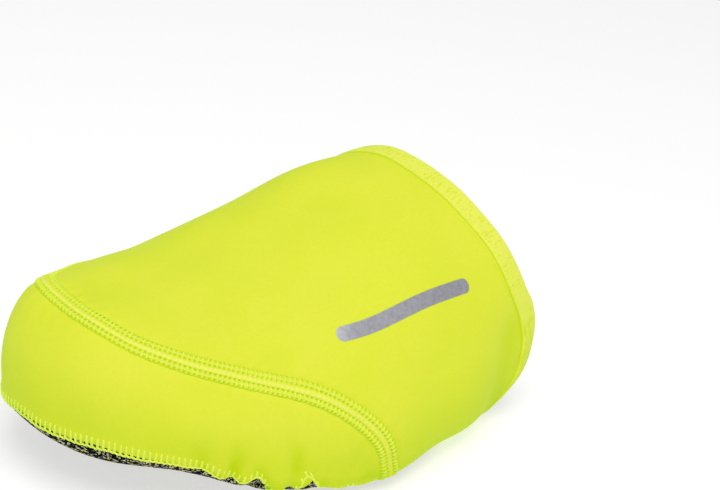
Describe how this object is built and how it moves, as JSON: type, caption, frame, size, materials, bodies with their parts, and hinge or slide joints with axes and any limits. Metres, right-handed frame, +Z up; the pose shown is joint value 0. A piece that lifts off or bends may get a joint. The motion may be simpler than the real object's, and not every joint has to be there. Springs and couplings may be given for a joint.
{
  "type": "cycling toe cover",
  "caption": "Stretch toe cover that pulls over the front half of a cycling shoe, with a toe panel, a hard-wearing sole patch and a cleat opening.",
  "frame": {"origin": "on the floor, in the middle of the sole's flat spot ahead of the cleat opening", "axes": "+Z up, the toe points to -Y, +X is the outer (little toe) side of the left shoe"},
  "size_m": [0.1115, 0.1643, 0.0789],
  "materials": {
    "softshell": "matt neon yellow stretch softshell, finely knitted",
    "seam_thread": "flat-locked seam in pale neon yellow thread",
    "sole_fabric": "coarse black woven aramid fabric with grey and yellow flecks"
  },
  "bodies": {
    "root": {"upper": "softshell", "toe_panel": "softshell", "toe_seam": "seam_thread", "rear_hem": "softshell", "sole": "sole_fabric"}
  },
  "joints": []
}
